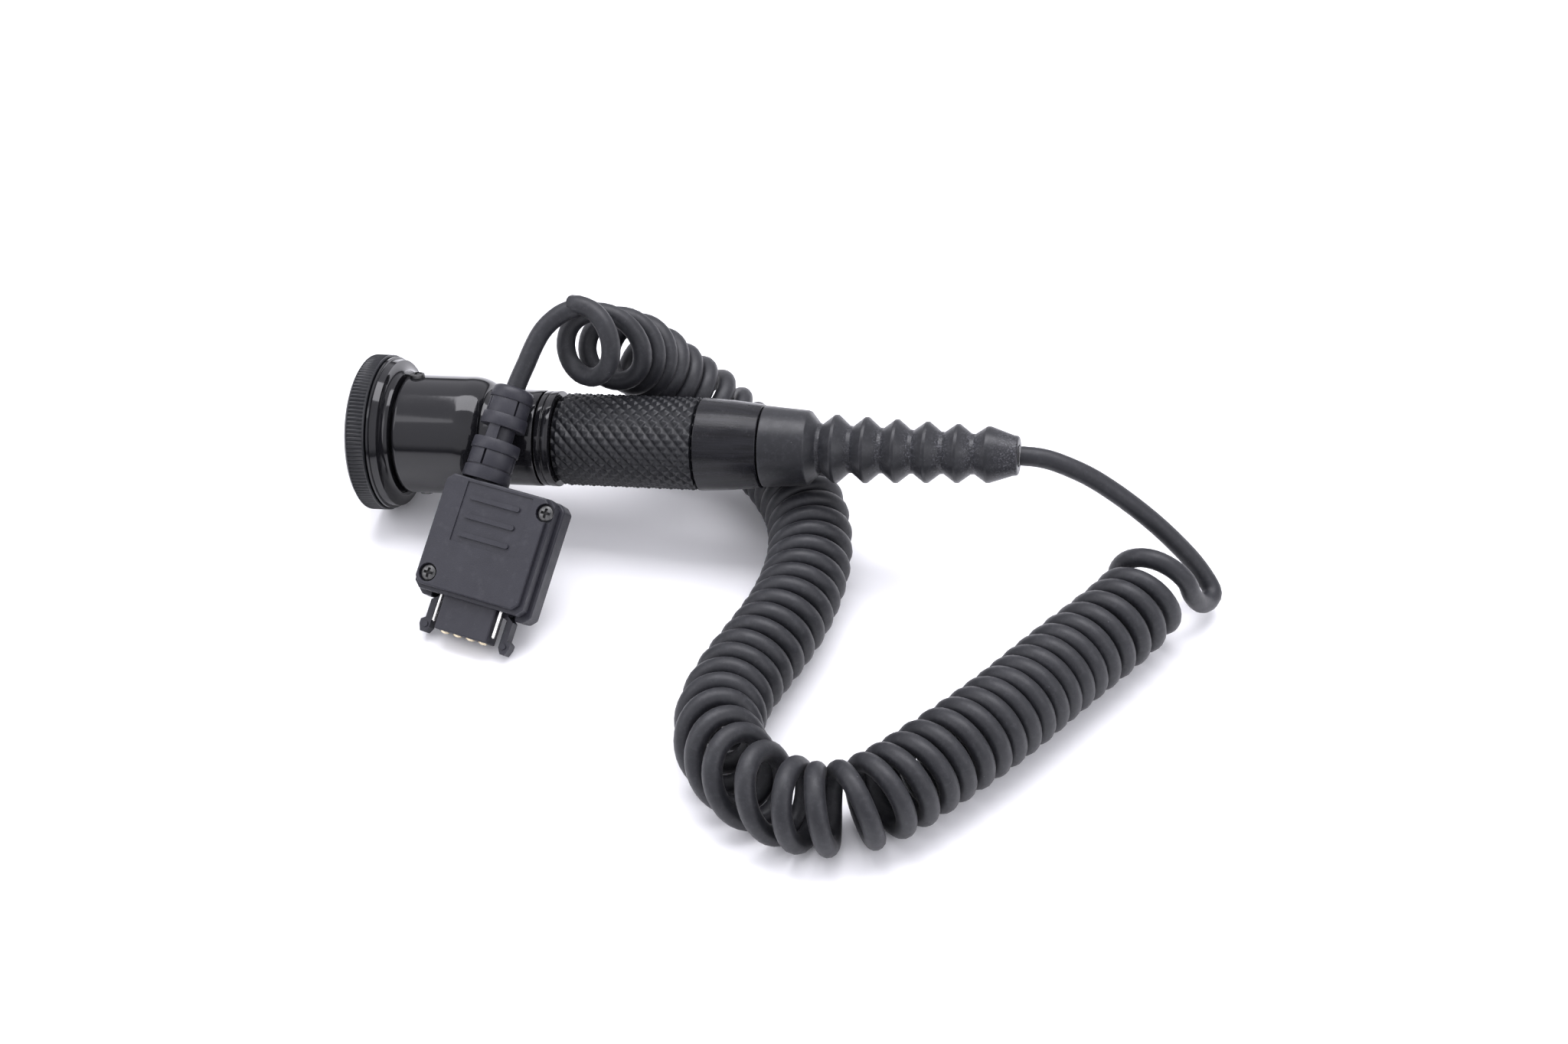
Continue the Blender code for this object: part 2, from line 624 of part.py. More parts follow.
def make_case(plug):
    half = PLUG_HALF
    cover = prism("plug_cover", chamfered_rectangle(-half, half, -half, half, PLUG_CORNER),
                  COVER_BOTTOM, COVER_STEP_Z, PLUG_PLASTIC, plug)
    upper = prism("cover_upper_tier",
                  chamfered_rectangle(-half + COVER_INSET, half - COVER_STEP, -half + COVER_STEP,
                                      half - COVER_INSET, PLUG_CORNER),
                  COVER_STEP_Z - 0.4, 0.0, None, plug)
    round_edges(cover, 0.12)
    round_edges(upper, 0.3)
    join(cover, upper)
    panel = box("panel_recess", (-7.2, 7.6), (-1.3, 11.3), (-0.25, 1.0), None, plug)
    cavity = prism("cover_cavity", cavity_outline(), COVER_BOTTOM - 1, -CASE_WALL - 0.2, None, plug)
    mouth = box("cover_mouth", (NOSE_CENTRE - 7.6, NOSE_CENTRE + 7.6), (-14, -10), (-6, NOSE_TOP + GAP),
                None, plug)
    cut(cover, panel, cavity, mouth, relief_hole("cover_relief_hole", plug, 2.9))
    for i, y in enumerate((8.3, 4.4, 0.5)):
        join(cover, prism(f"cover_bar_{i + 1}", capsule(-5.3, 5.0, y, 0.5), -0.6, 0.2, None, plug))
    base = prism("plug_base", chamfered_rectangle(-half - BASE_LIP_LEFT, half + BASE_LIP, -half - BASE_LIP, half,
                                                  PLUG_CORNER),
                 BASE_BOTTOM, BASE_TOP, PLUG_PLASTIC, plug)
    round_edges(base, 0.35)
    hollow = prism("base_cavity", cavity_outline(), BASE_BOTTOM + CASE_WALL, BASE_TOP + 1, None, plug)
    slot = box("base_mouth", (NOSE_CENTRE - LATCH_OUTER - 0.3, NOSE_CENTRE + LATCH_OUTER + 0.3), (-15, -10),
               (NOSE_BOTTOM - GAP, -2), None, plug)
    cut(base, hollow, slot, relief_hole("base_relief_hole", plug, 2.9))
    for name, centre in (("upper", UPPER_SCREW), ("lower", LOWER_SCREW)):
        cut(cover, screw_bore(f"counterbore_{name}", plug, centre, PLUG_SCREW_HEAD_R + 0.3, -1.3, 1.0))
        cut(cover, screw_bore(f"clearance_{name}", plug, centre, PLUG_SCREW_SHANK_R + GAP, -5.0, 1.0))
        cut(base, screw_bore(f"thread_{name}", plug, centre, PLUG_SCREW_SHANK_R + GAP, -8.0, -3.0))
        at = Matrix.Translation(Vector((*centre, 0)) * MM)
        mount = frame(f"plug_screw_{name}_frame", at, plug)
        pan_screw(f"plug_screw_{name}", mount, -1.0, 0.85, PLUG_SCREW_HEAD_R, PLUG_SCREW_SHANK_R, -7.6)


def make_nose(plug):
    x0 = NOSE_CENTRE - NOSE_HALF
    x1 = NOSE_CENTRE + NOSE_HALF
    block = box("contact_block", (x0, x1), (NOSE_TIP, -7.6), (NOSE_BOTTOM, NOSE_TOP), PLUG_PLASTIC, plug)
    round_edges(block, 0.3)
    ear_reach = GUIDE_PIN_X + 0.55
    join(block, box("block_ears", (NOSE_CENTRE - ear_reach, NOSE_CENTRE + ear_reach), (-12.0, -9.8),
                    (NOSE_TOP - 1.7, NOSE_TOP - 0.05), None, plug))
    for i in range(CONTACT_COUNT):
        x = NOSE_CENTRE + (i - (CONTACT_COUNT - 1) / 2) * CONTACT_PITCH
        at = Matrix.Translation(Vector((x, 0, (NOSE_TOP + NOSE_BOTTOM) / 2)) * MM)
        seat = frame(f"plug_contact_{i + 1}_frame", at, plug)
        cut(block, turned(f"contact_bore_{i + 1}", [
            (-21, 0), (-21, CONTACT_R + 0.2), (-6, CONTACT_R + 0.2), (-6, 0),
        ], None, seat, TINY_SEGMENTS, "Y"))
        tip = NOSE_TIP - 0.45
        turned(f"plug_contact_{i + 1}", [
            (tip, 0), (tip + 0.08, 0.55 * CONTACT_R), (tip + 0.35, CONTACT_R), (-7.0, CONTACT_R), (-7.0, 0),
        ], GOLD, seat, TINY_SEGMENTS, "Y")
    for side, sign in (("left", -1), ("right", 1)):
        at = Matrix.Translation(Vector((NOSE_CENTRE + sign * GUIDE_PIN_X, 0, NOSE_TOP - 0.85)) * MM)
        seat = frame(f"guide_pin_{side}_frame", at, plug)
        pin_hole = turned(f"guide_pin_hole_{side}", [(-13, 0), (-13, 0.6), (-9, 0.6), (-9, 0)], None, seat,
                          TINY_SEGMENTS, "Y")
        cut(block, pin_hole)
        turned(f"guide_pin_{side}", [
            (-17.9, 0), (-17.7, GUIDE_PIN_R), (-10.0, GUIDE_PIN_R), (-10.0, 0),
        ], NICKEL, seat, TINY_SEGMENTS, "Y")


def latch_outline(sign):
    """The latch lever from its tail to its hook; sign is -1 for the left one."""
    pivot_x, pivot_y = LATCH_PIVOT
    tail = pivot_x - 0.7
    back = pivot_x + 0.7
    points = [
        (tail, 0.8), (tail, -12.6), (LATCH_INNER, -13.6), (LATCH_INNER, -19.2), (LATCH_INNER + 0.7, -20.4),
        (LATCH_OUTER + 0.3, -20.4), (LATCH_HOOK, -19.0), (LATCH_HOOK, -18.0), (LATCH_OUTER, -17.4),
        (LATCH_OUTER, -13.6), (back, -12.6), (back, 0.8),
    ]
    return [(NOSE_CENTRE + sign * x, y) for x, y in points]


def make_latches(plug, latch_frames):
    pivot_x, pivot_y = LATCH_PIVOT
    for side, sign in (("left", -1), ("right", 1)):
        centre = Vector((NOSE_CENTRE + sign * pivot_x, pivot_y, 0))
        carrier = latch_frames[side]
        outline = [(x - centre.x, y - centre.y) for x, y in latch_outline(sign)]
        lever = prism(f"latch_{side}", outline, LATCH_BOTTOM, LATCH_TOP, PLUG_PLASTIC, carrier)
        hub = turned(f"latch_hub_{side}", [
            (LATCH_BOTTOM, 0), (LATCH_BOTTOM, LATCH_HUB_R), (LATCH_TOP, LATCH_HUB_R), (LATCH_TOP, 0),
        ], None, carrier, 16, "Z")
        boss_at = Matrix.Translation(Vector((sign * (8.9 - pivot_x), -18.8 - pivot_y, 0)) * MM)
        boss = turned(f"latch_boss_{side}", [
            (LATCH_TOP - 0.5, 0), (LATCH_TOP - 0.5, 0.6), (LATCH_TOP + 0.3, 0.6), (LATCH_TOP + 0.3, 0),
        ], None, frame(f"latch_boss_{side}_frame", boss_at, carrier), TINY_SEGMENTS, "Z")
        join(lever, hub, boss)
        cut(lever, turned(f"latch_eye_{side}", [
            (-9, 0), (-9, LATCH_PIN_R + 0.25), (-2, LATCH_PIN_R + 0.25), (-2, 0),
        ], None, carrier, TINY_SEGMENTS, "Z"))
        still = frame(f"latch_pin_{side}_frame", Matrix.Translation(centre * MM), plug)
        turned(f"latch_pin_{side}", [
            (-7.3, 0), (-7.3, LATCH_PIN_R), (-1.9, LATCH_PIN_R), (-1.9, 0),
        ], STEEL, still, TINY_SEGMENTS, "Z")
        level = (LATCH_TOP + LATCH_BOTTOM) / 2
        inner_x = NOSE_CENTRE + sign * (pivot_x + 1.45)
        outer_x = sign * (PLUG_HALF - CASE_WALL - 0.3)
        tube(f"latch_spring_{side}", helix((inner_x, -0.3, level), (outer_x, -0.3, level), 0.8, 3, 10),
             0.15, STEEL, plug, 0)


def make_strain_relief(plug):
    """A tapered, slotted strain relief; its slots alternate between two directions."""
    start = PLUG_HALF + GAP
    end = start + RELIEF_LENGTH
    at = Matrix.Translation(Vector((RELIEF_X, 0, RELIEF_Z)) * MM)
    seat = frame("plug_strain_relief_frame", at, plug)

    def radius(along):
        return RELIEF_BASE_R + (RELIEF_TIP_R - RELIEF_BASE_R) * (along - start) / RELIEF_LENGTH

    relief = turned("plug_strain_relief", [
        (9.4, CORD_R + 0.3), (9.4, 2.6), (start, 2.6), (start, RELIEF_BASE_R),
        (start + 2.5, radius(start + 2.5)), (start + 2.5, radius(start + 2.5) - 0.35),
        (start + 4.9, radius(start + 4.9) - 0.35), (start + 4.9, radius(start + 4.9)),
        (start + 15.4, radius(start + 15.4)), (start + 15.4, radius(start + 15.4) - 0.35),
        (start + 17.8, radius(start + 17.8) - 0.35), (start + 17.8, radius(start + 17.8)),
        (end - 0.7, RELIEF_TIP_R), (end, RELIEF_TIP_R - 0.7), (end, CORD_R + 0.3),
    ], PLUG_PLASTIC, seat, 28, "Y")
    join(relief, box("relief_flange", (-4.2, 4.2), (9.6, 10.5), (-2.8, 2.6), None, seat))
    cut(relief, turned("relief_bore", [
        (8.0, 0), (8.0, CORD_R + 0.3), (12.0, CORD_R + 0.3), (12.0, 0),
    ], None, seat, 28, "Y"))
    slots = (
        (start + 4.9, 0.6, "front"), (start + 8.3, 2.2, "side"), (start + 12.1, 0.6, "front"),
        (start + 17.8, 0.5, "side"),
    )
    bridge = 1.2
    reach = 6.0
    for i, (low, width, facing) in enumerate(slots):
        for j, sign in enumerate((-1, 1)):
            span = tuple(sorted((sign * bridge, sign * reach)))
            across = (-reach, reach)
            x, z = (across, span) if facing == "front" else (span, across)
            cut(relief, box(f"relief_slot_{i}_{j}", x, (low, low + width), z, None, seat))
    turned("plug_cord_clamp", [
        (5.0, CORD_R + 0.3), (5.0, 2.75), (8.8, 2.75), (8.8, CORD_R + 0.3),
    ], STEEL, seat, 16, "Y")
    turned("plug_cord_core", [
        (3.5, 0), (3.5, CORD_R - 0.02), (end - 0.3, CORD_R - 0.02), (end - 0.3, 0),
    ], RUBBER, seat, TINY_SEGMENTS, "Y")


def main():
    clear_scene()
    origin = handle_origin()
    tilt = Matrix.Rotation(-HANDLE_TILT, 4, "Y")
    handle = frame("handle_frame", Matrix.Translation(origin * MM) @ tilt)
    collar = frame("collar_frame", Matrix.Identity(4), handle)
    button = frame("button_frame", Matrix.Identity(4), handle)
    pivot_s, pivot_z = LEAF_PIVOT
    leaf = frame("leaf_frame", Matrix.Translation((pivot_s * MM, 0, pivot_z * MM)), handle)
    make_collar(handle, collar)
    make_flange(handle)
    make_barrel(handle)
    make_button(button)
    make_switch(handle, leaf)
    make_sleeves(handle)
    make_boot(handle)
    make_cord()
    plug = frame("plug_frame", plug_matrix())
    latch_frames = {}
    for side, sign in (("left", -1), ("right", 1)):
        centre = Vector((NOSE_CENTRE + sign * LATCH_PIVOT[0], LATCH_PIVOT[1], 0)) * MM
        latch_frames[side] = frame(f"latch_{side}_frame", Matrix.Translation(centre), plug)
    make_case(plug)
    make_nose(plug)
    make_latches(plug, latch_frames)
    make_strain_relief(plug)


main()
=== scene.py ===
"""Looks for the electric shutter release: studio, curly cord, knurling, boot and plug details.

Metres, +Z up, in the CAD's own frame. MM turns the millimetres below into metres.
"""
import json
import math

import bmesh
import bpy
from mathutils import Matrix, Vector


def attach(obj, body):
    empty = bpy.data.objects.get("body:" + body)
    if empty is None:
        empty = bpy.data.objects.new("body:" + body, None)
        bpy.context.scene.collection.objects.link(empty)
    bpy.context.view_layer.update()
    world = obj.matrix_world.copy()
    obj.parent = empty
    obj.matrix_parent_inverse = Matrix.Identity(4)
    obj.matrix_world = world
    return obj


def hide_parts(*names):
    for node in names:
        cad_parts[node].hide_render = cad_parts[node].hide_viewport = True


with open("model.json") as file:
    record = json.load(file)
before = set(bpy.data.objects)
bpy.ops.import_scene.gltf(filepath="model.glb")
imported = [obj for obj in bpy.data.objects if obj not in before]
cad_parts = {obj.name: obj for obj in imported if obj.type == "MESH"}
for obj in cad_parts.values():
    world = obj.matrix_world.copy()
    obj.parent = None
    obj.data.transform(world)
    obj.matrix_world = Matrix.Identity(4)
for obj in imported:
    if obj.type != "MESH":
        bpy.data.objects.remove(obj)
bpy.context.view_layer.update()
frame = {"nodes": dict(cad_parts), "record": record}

MM = 0.001
CORD_DIAMETER = 4.0

# The cord's route, in millimetres. It is close to the CAD's: the first stretch differs by up to 0.5 mm,
# and the two ends of the coil by up to 1 mm. Most of these points were not chosen by hand: a program
# placed them from the photo.
HANDLE_STRETCH = [
    (70.2, 0.0, 32.0), (74.0, 0.0, 32.1), (77.8, 0.0, 31.4), (83.6, 0.0, 29.2), (88.6, 0.0, 26.3),
    (93.8, 0.0, 22.6), (98.8, 0.0, 18.5), (103.4, 0.0, 14.1), (107.4, -0.1, 9.8), (110.5, -0.9, 6.1),
    (112.0, -2.9, 4.5), (111.2, -5.6, 4.3), (109.6, -8.2, 6.1),
]
COIL_ROUTE = [
    (100.6, -7.2, 10.2), (96.4, -16.1, 9.2), (91.4, -24.6, 9.2), (86.4, -32.2, 9.2), (81.2, -40.4, 9.2),
    (75.8, -49.1, 9.2), (69.6, -58.1, 9.2), (63.4, -66.2, 9.2), (57.8, -73.3, 9.2), (51.5, -78.9, 9.1),
    (43.6, -81.6, 9.0), (35.2, -79.8, 9.0), (27.5, -75.0, 9.0), (22.1, -67.1, 9.0), (21.5, -57.8, 9.0),
    (23.3, -49.0, 8.9), (25.9, -40.6, 8.9), (28.3, -31.5, 8.9), (29.5, -21.8, 8.9), (29.2, -11.4, 9.0),
    (26.6, -1.3, 9.5), (21.3, 7.7, 10.0), (14.8, 14.6, 10.9), (7.7, 18.9, 12.4), (3.7, 20.0, 15.3),
    (0.0, 20.7, 18.4), (-3.9, 20.5, 21.5), (-7.2, 19.9, 24.6), (-10.2, 19.2, 28.0), (-12.8, 17.4, 31.8),
    (-15.3, 14.2, 35.6), (-17.8, 9.5, 39.6), (-21.6, 5.0, 43.5),
]
PLUG_STRETCH = [
    (-23.4, 8.1, 49.7), (-25.2, 7.6, 49.2), (-27.0, 6.8, 48.4), (-28.9, 5.4, 47.0), (-30.4, 3.9, 45.3),
    (-31.6, 1.9, 43.0), (-32.6, -0.4, 40.4), (-33.4, -2.2, 38.5), (-34.1, -4.1, 36.6),
]
COIL_END = (-23.5, 3.2, 45.8)          # the last turn reaches a little past the CAD's coil
IN_RELIEF = (-34.5, -5.7, 35.2)        # the cord goes on into the strain relief
# The turns' radius to the middle of the cord, and their pitch, by the distance along the coil. The
# pitches follow programs' fits to the photo, with changes.
TURN_R = [(0, 7.9), (6, 7.25), (80, 7.25), (95, 6.95), (130, 6.85), (300, 6.85)]
TURN_PITCH = [
    (0, 7.4), (6, 7.0), (8, 5.1), (20, 4.8), (25, 4.4), (32, 4.15), (38, 4.05), (57, 4.05), (62, 4.3),
    (67, 5.0), (71, 4.5), (77, 4.7), (85.5, 4.7), (88, 7.8), (92, 7.5), (95, 4.6), (100, 4.4), (103, 6.0),
    (106, 8.2), (109.5, 6.6), (112, 5.3), (132, 5.4), (137, 5.4), (141, 4.6), (148, 4.4), (165, 4.3),
    (174, 4.5), (180, 4.6), (187, 4.5), (192, 4.2), (199, 4.0), (212, 4.5), (222, 5.0), (230, 4.8),
    (238, 4.6), (243, 4.8), (248, 5.3), (254, 6.2), (260, 7.6), (266, 9.0), (270, 9.3),
]
# How far the tops of the turns lean forward (or back, where negative), as a share of the radius, by the
# distance along the coil.
TURN_LEAN = [
    (0, 0.05), (9, 0.0), (92, 0.0), (98, 0.12), (106, 0.45), (114, 0.58), (124, 0.52), (131, 0.3),
    (138, 0.08), (144, 0.0), (250, 0.0), (258, -0.3), (268, -0.3), (272, -0.1),
]
# How far the sides of the turns swing forward in the same way, near the plug.
TURN_SWAY = [(0, 0.0), (235, 0.0), (250, 0.3), (266, 0.3), (272, 0.1)]
POINTS_PER_TURN = 12
LAST_RING_UP = (-0.05, 0.76, 0.64)

# The handle's stations along its axis and radii, as in the CAD, and the details only seen here.
COLLAR_R = 16.6
COLLAR_CHAMFER = 0.7
COLLAR_END = 4.6
COLLAR_TEETH = 120
TEETH_START = 0.85
TEETH_END = 4.25
TOOTH_DEPTH = 0.32
FLANGE_END = 8.4
GRIP_START = 42.8
GRIP_END = 73.0
GRIP_R = 9.75
KNURL_COUNT = 22
KNURL_PITCH = 2.4
KNURL_DEPTH = 0.62
RELIEF_X = -5.7
RELIEF_Z = -4.5
RELIEF_START = 12.5
BARREL_SCREW_S = 11.3
BARREL_SCREW_TURN = -20                # degrees about the handle's axis
PLUG_SCREWS = {"upper": (10.8, 9.2), "lower": (-9.6, -8.8)}
SHANK_R = 0.8
# Each screw's seat, head height, head radius and tip, along its own axis.
BARREL_SCREW_SIZES = (12.6, 0.95, 1.6, 8.0)
PLUG_SCREW_SIZES = (-1.0, 0.7, 1.55, -7.6)
SLIT_HALF = 2.6                        # degrees
BRIDGE_HALF = 17


# ================================================================ places
def joint(name):
    for item in frame["record"]["behaviour"]["joints"]:
        if item["name"] == name:
            return item
    raise KeyError(name)


def handle_place():
    """The handle's own frame: X along its axis from the collar's face, Z up."""
    collar = joint("lock_collar_turn")
    along = Vector(collar["axis"]).normalized()
    across = Vector((0, 1, 0))
    up = along.cross(across)
    matrix = Matrix((along, across, up)).transposed().to_4x4()
    matrix.translation = Vector(collar["pos_m"])
    return matrix


def plug_place():
    """The plug's own frame: X across, Y towards its cord, Z out of its top face."""
    left = joint("latch_left_squeeze")
    right = joint("latch_right_squeeze")
    out = Vector(left["axis"]).normalized()
    across = Vector(right["pos_m"]) - Vector(left["pos_m"])
    across = (across - out * across.dot(out)).normalized()
    towards_cord = out.cross(across)
    matrix = Matrix((across, towards_cord, out)).transposed().to_4x4()
    pivot = Vector((-6.8, -5.0, -5.8)) * MM
    matrix.translation = Vector(left["pos_m"]) - matrix.to_3x3() @ pivot
    return matrix


HANDLE = handle_place()
PLUG = plug_place()


# ================================================================ camera, lights and floor
CAMERA_AT = (0.0970, -0.3787, 0.3417)
CAMERA_AIM = (-0.1477, 0.7401, -0.6561)
CAMERA_LENS = 55.4


def make_camera():
    data = bpy.data.cameras.new("camera")
    data.sensor_width = 36
    data.lens = CAMERA_LENS
    data.clip_start = 0.01
    camera = bpy.data.objects.new("camera", data)
    bpy.context.scene.collection.objects.link(camera)
    camera.location = CAMERA_AT
    camera.rotation_euler = Vector(CAMERA_AIM).to_track_quat("-Z", "Y").to_euler()
    bpy.context.scene.camera = camera


def softbox(name, at, towards, size, watts, colour):
    data = bpy.data.lights.new(name, "AREA")
    data.shape = "RECTANGLE"
    data.size = size[0]
    data.size_y = size[1]
    data.energy = watts
    data.color = colour
    light = bpy.data.objects.new(name, data)
    bpy.context.scene.collection.objects.link(light)
    light.location = at
    light.rotation_euler = (Vector(towards) - Vector(at)).to_track_quat("-Z", "Y").to_euler()


def make_studio():
    bpy.context.scene.view_settings.view_transform = "Standard"
    world = bpy.data.worlds.new("studio")
    world.use_nodes = True
    tree = world.node_tree
    background = tree.nodes["Background"]
    direction = tree.nodes.new("ShaderNodeTexCoord").outputs["Generated"]
    height = tree.nodes.new("ShaderNodeSeparateXYZ")
    tree.links.new(direction, height.inputs[0])
    bands = tree.nodes.new("ShaderNodeValToRGB")
    stops = bands.color_ramp.elements
    stops.new(0.5)
    stops.new(0.5)
    for stop, (position, grey) in zip(stops, ((0.06, 0.10), (0.22, 0.90), (0.80, 1.0), (1.0, 0.85))):
        stop.position = position
        stop.color = (0.935 * grey, 0.93 * grey, grey, 1.0)
    tree.links.new(height.outputs[2], bands.inputs["Fac"])
    tree.links.new(bands.outputs["Color"], background.inputs["Color"])
    background.inputs["Strength"].default_value = 1.15
    bpy.context.scene.world = world
    lavender = (0.955, 0.95, 1.0)
    softbox("overhead", (0.0, 0.18, 0.74), (0.02, -0.02, 0), (0.8, 0.45), 6.5, lavender)
    softbox("left", (-0.7, -0.25, 0.5), (0, 0, 0), (0.5, 0.7), 2.0, lavender)
    softbox("right", (0.8, -0.3, 0.5), (0.05, 0, 0), (0.5, 0.7), 2.0, lavender)

    bm = bmesh.new()
    bmesh.ops.create_grid(bm, x_segments=1, y_segments=1, size=4.0)
    mesh = bpy.data.meshes.new("floor")
    bm.to_mesh(mesh)
    bm.free()
    floor = bpy.data.objects.new("floor", mesh)
    bpy.context.scene.collection.objects.link(floor)
    floor.location.z = -0.0002
    material = bpy.data.materials.new("white_table")
    material.use_nodes = True
    shader = material.node_tree.nodes["Principled BSDF"]
    shader.inputs["Base Color"].default_value = (0.93, 0.93, 0.94, 1.0)
    shader.inputs["Roughness"].default_value = 0.6
    shader.inputs["Specular IOR Level"].default_value = 0.2
    mesh.materials.append(material)


# ================================================================ materials
class Look:
    """A small builder for procedural materials."""

    def __init__(self, name):
        self.material = bpy.data.materials.new(name)
        self.material.use_nodes = True
        self.tree = self.material.node_tree
        self.shader = self.tree.nodes["Principled BSDF"]
        self.coordinates = self.tree.nodes.new("ShaderNodeTexCoord").outputs["Object"]

    def node(self, kind, **settings):
        node = self.tree.nodes.new(kind)
        for key, value in settings.items():
            setattr(node, key, value)
        return node

    def link(self, a, b):
        self.tree.links.new(a, b)

    def noise(self, scale, detail=4.0, roughness=0.55, stretch=(1, 1, 1), rotate=(0, 0, 0)):
        mapping = self.node("ShaderNodeMapping")
        mapping.inputs["Scale"].default_value = stretch
        mapping.inputs["Rotation"].default_value = rotate
        self.link(self.coordinates, mapping.inputs["Vector"])
        noise = self.node("ShaderNodeTexNoise")
        noise.inputs["Scale"].default_value = scale
        noise.inputs["Detail"].default_value = detail
        noise.inputs["Roughness"].default_value = roughness
        self.link(mapping.outputs["Vector"], noise.inputs["Vector"])
        return noise.outputs["Fac"]

    def ramp(self, value, stops):
        """Map a value through (position, grey or colour) stops."""
        ramp = self.node("ShaderNodeValToRGB")
        elements = ramp.color_ramp.elements
        while len(elements) < len(stops):
            elements.new(0.5)
        for element, (position, colour) in zip(elements, stops):
            element.position = position
            grey = (colour, colour, colour) if isinstance(colour, (int, float)) else colour
            element.color = (*grey, 1.0)
        self.link(value, ramp.inputs["Fac"])
        return ramp.outputs["Color"]

    def mix(self, share, a, b):
        """Blend two colours; each is an output or an (r, g, b)."""
        mix = self.node("ShaderNodeMix", data_type="RGBA")
        self.link(share, mix.inputs["Factor"])
        for value, socket in ((a, mix.inputs[6]), (b, mix.inputs[7])):
            if isinstance(value, tuple):
                socket.default_value = (*value, 1.0)
            else:
                self.link(value, socket)
        return mix.outputs[2]

    def math(self, operation, a, b):
        node = self.node("ShaderNodeMath", operation=operation)
        for value, socket in ((a, node.inputs[0]), (b, node.inputs[1])):
            if isinstance(value, (int, float)):
                socket.default_value = value
            else:
                self.link(value, socket)
        return node.outputs[0]

    def axis_distance(self):
        """Distance in metres from the object's own X axis."""
        parts = self.node("ShaderNodeSeparateXYZ")
        self.link(self.coordinates, parts.inputs[0])
        squares = self.math("ADD", self.math("POWER", self.math("ABSOLUTE", parts.outputs[1], 0.0), 2.0),
                            self.math("POWER", self.math("ABSOLUTE", parts.outputs[2], 0.0), 2.0))
        return self.math("SQRT", squares, 0.0)

    def set(self, **values):
        """Shader sockets by name, with spaces written as underscores."""
        for key, value in values.items():
            socket = self.shader.inputs[key.replace("_", " ")]
            if isinstance(value, tuple):
                socket.default_value = (*value, 1.0)
            elif isinstance(value, (int, float)):
                socket.default_value = value
            else:
                self.link(value, socket)

    def bump(self, height, strength, distance):
        bump = self.node("ShaderNodeBump")
        bump.inputs["Strength"].default_value = strength
        bump.inputs["Distance"].default_value = distance
        self.link(height, bump.inputs["Height"])
        self.link(bump.outputs["Normal"], self.shader.inputs["Normal"])


def gloss_black():
    look = Look("gloss_black_paint")
    streaks = look.noise(420, 6, 0.6, (1.0, 0.04, 0.04), (0.3, 0.2, 0.4))
    scratch = look.ramp(streaks, ((0.655, 0.0), (0.70, 1.0)))
    speck = look.ramp(look.noise(2600, 3), ((0.74, 0.0), (0.78, 1.0)))
    smudge = look.noise(75, 5, 0.6)
    marks = look.math("MAXIMUM", look.math("MULTIPLY", scratch, 0.35), speck)
    look.set(Base_Color=look.mix(marks, (0.008, 0.008, 0.0095), (0.05, 0.05, 0.055)),
             Roughness=look.math("ADD", look.ramp(smudge, ((0.3, 0.05), (0.75, 0.13))),
                                 look.math("MULTIPLY", marks, 0.25)),
             Specular_IOR_Level=0.42)
    look.bump(look.noise(240, 3), 0.05, 0.0002)
    return look.material


def satin_black(name, roughness, dark, light, streak=0.0, shine=0.38):
    """Satin paint; streak stretches its marks along the handle."""
    look = Look(name)
    grain = look.noise(3200, 5)
    along = look.noise(1100, 6, 0.6, (0.03, 1.0, 1.0))
    worn = look.ramp(look.noise(700, 7, 0.65), ((0.60, 0.0), (0.72, 1.0)))
    tone = look.ramp(along, ((0.35, dark), (0.65, light)))
    look.set(Base_Color=look.mix(look.math("MULTIPLY", worn, 0.3), tone, (0.05, 0.05, 0.056)),
             Roughness=look.ramp(look.noise(140, 4), ((0.3, roughness - 0.06), (0.7, roughness + 0.08))),
             Specular_IOR_Level=shine)
    height = look.math("ADD", look.math("MULTIPLY", along, streak), look.math("MULTIPLY", grain, 0.35))
    look.bump(height, 0.5, 0.00008)
    return look.material


def rubber(name, dark, light, roughness, valley=None):
    """Matt rubber with fine dust; valley is the radius below which dust has settled round the axis."""
    look = Look(name)
    grain = look.noise(5200, 5)
    speck = look.ramp(look.noise(1700, 4, 0.6), ((0.735, 0.0), (0.765, 1.0)))
    film = look.ramp(look.noise(900, 8, 0.7), ((0.50, 0.0), (0.75, 1.0)))
    body = look.ramp(look.noise(160, 4), ((0.25, dark), (0.8, light)))
    dust = look.math("MAXIMUM", look.math("MULTIPLY", speck, 0.9), look.math("MULTIPLY", film, 0.10))
    if valley:
        share = look.math("MULTIPLY", look.axis_distance(), 1.0 / (2 * valley))
        low = look.ramp(share, ((0.44, 1.0), (0.56, 0.0)))
        patches = look.ramp(look.noise(2600, 6, 0.75), ((0.50, 0.0), (0.66, 0.6)))
        settled = look.math("MULTIPLY", low, patches)
        dust = look.math("MAXIMUM", dust, settled)
    matt = look.ramp(look.noise(500, 3), ((0.3, roughness - 0.05), (0.7, roughness + 0.06)))
    look.set(Base_Color=look.mix(dust, body, (0.16, 0.16, 0.18)),
             Roughness=look.math("ADD", matt, look.math("MULTIPLY", dust, 0.2)),
             Specular_IOR_Level=0.42, Sheen_Weight=0.04, Sheen_Roughness=0.5)
    look.bump(grain, 0.22, 0.00006)
    return look.material


